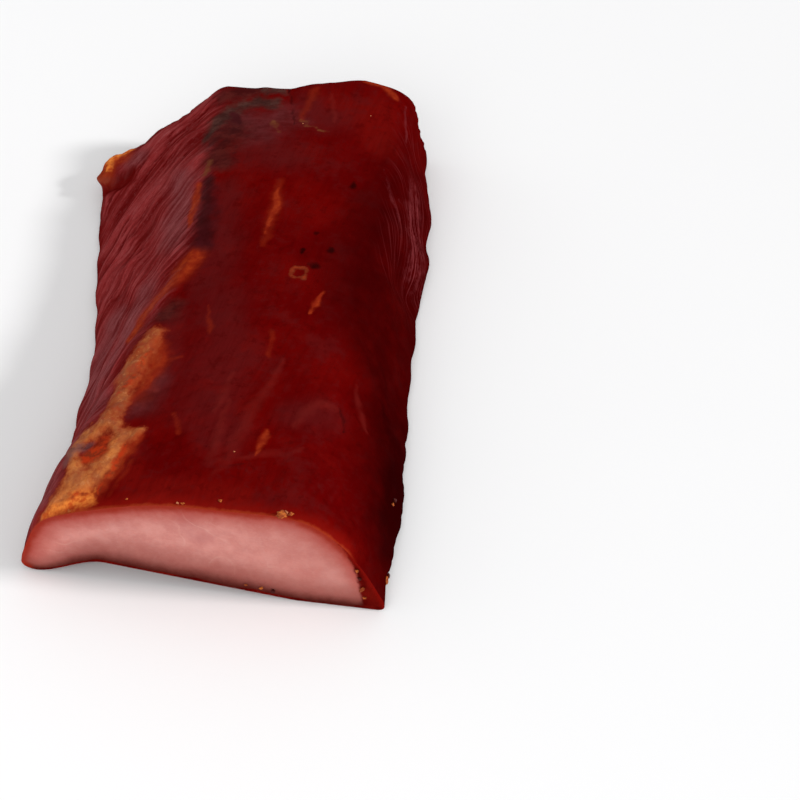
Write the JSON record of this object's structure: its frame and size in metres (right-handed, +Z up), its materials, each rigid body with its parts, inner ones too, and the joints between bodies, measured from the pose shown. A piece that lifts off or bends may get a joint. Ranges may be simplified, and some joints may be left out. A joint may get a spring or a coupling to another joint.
{
  "type": "smoked cured pork",
  "caption": "Slab of smoked cured pork loin with a dark glossy crust, a sloping grained side, streaks of fat, a rough back end and a cut face of pink meat.",
  "frame": {"origin": "on the floor, under the middle of the slab's box", "axes": "+Y along the slab from the cut face to the back end, +X to its right as seen from the cut face, +Z up"},
  "size_m": [0.1226, 0.2238, 0.0397],
  "materials": {
    "smoked_crust": "satin"
  },
  "bodies": {
    "root": {"smoked_pork": "smoked_crust"}
  },
  "joints": []
}
